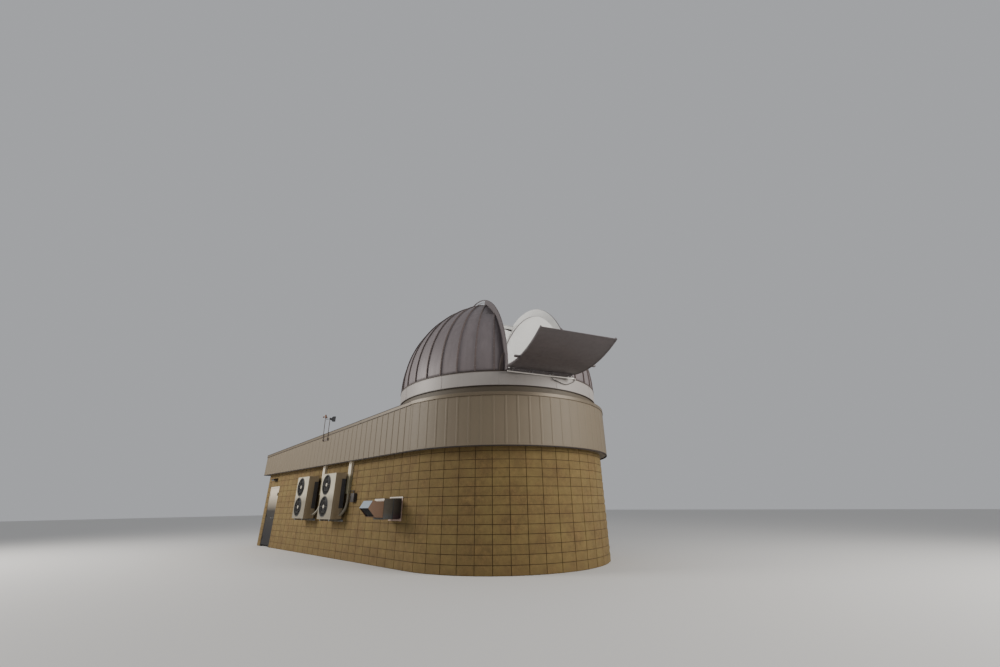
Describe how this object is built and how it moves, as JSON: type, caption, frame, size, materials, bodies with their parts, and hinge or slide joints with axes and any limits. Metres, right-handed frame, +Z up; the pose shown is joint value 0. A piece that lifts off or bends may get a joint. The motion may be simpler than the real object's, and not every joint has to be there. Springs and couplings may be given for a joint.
{
  "type": "observatory dome building",
  "caption": "Small observatory: round block drum with a rotating slit dome, its lower shutter swung open, and a low block wing with a metal fascia behind it.",
  "frame": {"origin": "on the ground under the dome's vertical axis, at the underside of the floor slab", "axes": "+Z up, +Y along the wing away from the round front, +X to the right seen from the front"},
  "size_m": [7.3866, 16.3167, 7.854],
  "materials": {
    "block": "rough",
    "concrete": "rough",
    "roofing": "matte",
    "tan_metal": "satin",
    "dome_metal": "satin",
    "ring_metal": "satin",
    "steel": "satin",
    "door_metal": "satin",
    "unit_paint": "satin",
    "dark_plastic": "matte",
    "vent_dark": "matte",
    "vent_brown": "satin"
  },
  "bodies": {
    "building": {"floor_slab": "concrete", "round_wall_1": "block", "round_wall_2": "block", "round_wall_3": "block", "round_wall_4": "block", "left_wall_front": "block", "left_wall_over_door": "block", "left_wall_rear": "block", "right_wall": "block", "rear_wall": "block", "roof_deck": "roofing", "fascia_round_left": "tan_metal", "fascia_round_right": "tan_metal", "fascia_left": "tan_metal", "fascia_right": "tan_metal", "fascia_rear": "tan_metal", "coping_round": "tan_metal", "coping_left": "tan_metal", "coping_right": "tan_metal", "coping_rear": "tan_metal", "dome_curb": "tan_metal", "roller_ring": "steel", "door_frame": "door_metal", "door_light": "steel", "unit_1_cabinet": "unit_paint", "unit_1_grille": "unit_paint", "unit_1_bracket": "steel", "unit_2_cabinet": "unit_paint", "unit_2_grille": "unit_paint", "unit_2_bracket": "steel", "line_cover_1": "unit_paint", "line_cover_2": "unit_paint", "isolator_1": "steel", "isolator_2": "steel", "vent_sleeve": "vent_dark", "vent_hood": "vent_brown", "weather_masts": "steel"},
    "dome": {"base_ring": "ring_metal", "dome_shell_left": "dome_metal", "dome_shell_right": "dome_metal", "dome_shell_rear": "dome_metal", "slit_arch_left": "dome_metal", "slit_arch_right": "dome_metal", "slit_header": "dome_metal", "slit_sill": "ring_metal", "conduit_long": "dark_plastic", "conduit_short": "dark_plastic", "slack_cable": "dark_plastic"},
    "upper_shutter": {"upper_shutter": "dome_metal"},
    "lower_shutter": {"lower_shutter": "dome_metal"},
    "entry_door": {"entry_door": "door_metal", "door_lever_outside": "steel", "door_lever_inside": "steel"},
    "unit_1_fan_lower": {"unit_1_fan_lower": "dark_plastic"},
    "unit_1_fan_upper": {"unit_1_fan_upper": "dark_plastic"},
    "unit_2_fan_lower": {"unit_2_fan_lower": "dark_plastic"},
    "unit_2_fan_upper": {"unit_2_fan_upper": "dark_plastic"},
    "anemometer": {"anemometer_cups": "dark_plastic"},
    "wind_vane": {"wind_vane": "dark_plastic"}
  },
  "joints": [
    {"name": "dome_rotation", "type": "hinge", "parent": "building", "child": "dome", "pos_m": [0, 0, 4.4406], "axis": [0, 0, 1], "continuous": true},
    {"name": "upper_shutter_travel", "type": "hinge", "parent": "dome", "child": "upper_shutter", "pos_m": [0, 0, 4.734], "axis": [0.9205, -0.3907, 0], "range_deg": [0, 69.3]},
    {"name": "lower_shutter_hinge", "type": "hinge", "parent": "dome", "child": "lower_shutter", "pos_m": [-1.23706, -2.91432, 4.685], "axis": [-0.9205, 0.3907, 0], "range_deg": [0, 98]},
    {"name": "entry_door_hinge", "type": "hinge", "parent": "building", "child": "entry_door", "pos_m": [-3.134, 10.5627, 1.1], "axis": [0, 0, -1], "range_deg": [0, 100]},
    {"name": "unit_1_fan_lower_spin", "type": "hinge", "parent": "building", "child": "unit_1_fan_lower", "pos_m": [-3.48, 6.12, 1.44], "axis": [1, 0, 0], "continuous": true},
    {"name": "unit_1_fan_upper_spin", "type": "hinge", "parent": "building", "child": "unit_1_fan_upper", "pos_m": [-3.48, 6.12, 2.07], "axis": [1, 0, 0], "continuous": true},
    {"name": "unit_2_fan_lower_spin", "type": "hinge", "parent": "building", "child": "unit_2_fan_lower", "pos_m": [-3.48, 4.075, 1.44], "axis": [1, 0, 0], "continuous": true},
    {"name": "unit_2_fan_upper_spin", "type": "hinge", "parent": "building", "child": "unit_2_fan_upper", "pos_m": [-3.48, 4.075, 2.07], "axis": [1, 0, 0], "continuous": true},
    {"name": "anemometer_spin", "type": "hinge", "parent": "building", "child": "anemometer", "pos_m": [-3.363, 5.49, 4.434], "axis": [0, 0, 1], "continuous": true},
    {"name": "wind_vane_turn", "type": "hinge", "parent": "building", "child": "wind_vane", "pos_m": [-3.363, 5.075, 4.304], "axis": [0, 0, 1], "continuous": true}
  ]
}
